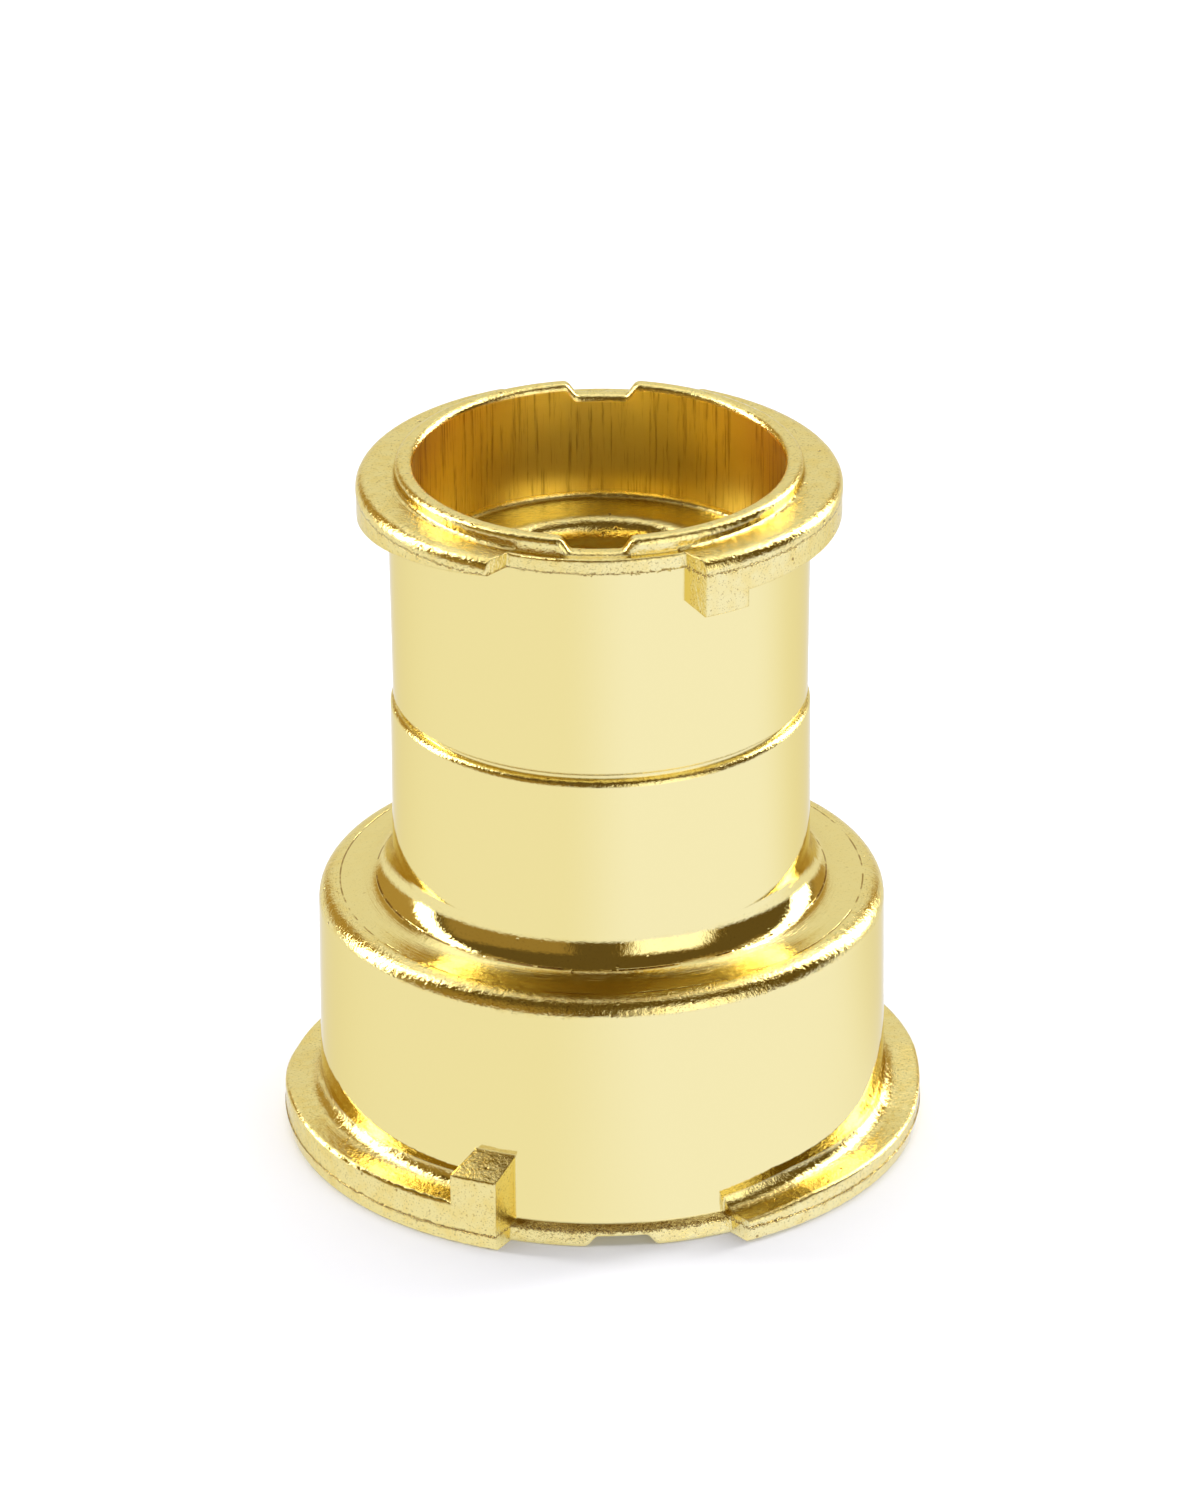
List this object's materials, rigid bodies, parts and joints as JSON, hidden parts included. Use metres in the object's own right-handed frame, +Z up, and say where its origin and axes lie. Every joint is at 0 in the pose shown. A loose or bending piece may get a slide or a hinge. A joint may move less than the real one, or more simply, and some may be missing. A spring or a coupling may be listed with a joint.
{
  "type": "bayonet adapter sleeve",
  "caption": "Hollow stepped metal sleeve with a bayonet flange, cam ramps and stop lugs at each end, joining two twist-lock fittings on one axis.",
  "frame": {"origin": "on the axis, at the plane of the foot flange's underside, which the part stands on", "axes": "+Z up along the axis towards the socket end; -Y through the middle of the front gap of the top flange"},
  "size_m": [0.032, 0.0304, 0.0356],
  "materials": {
    "plating": "gold-coloured plating, satin, with fine turning marks"
  },
  "bodies": {
    "root": {"bayonet_sleeve": "plating"}
  },
  "joints": []
}
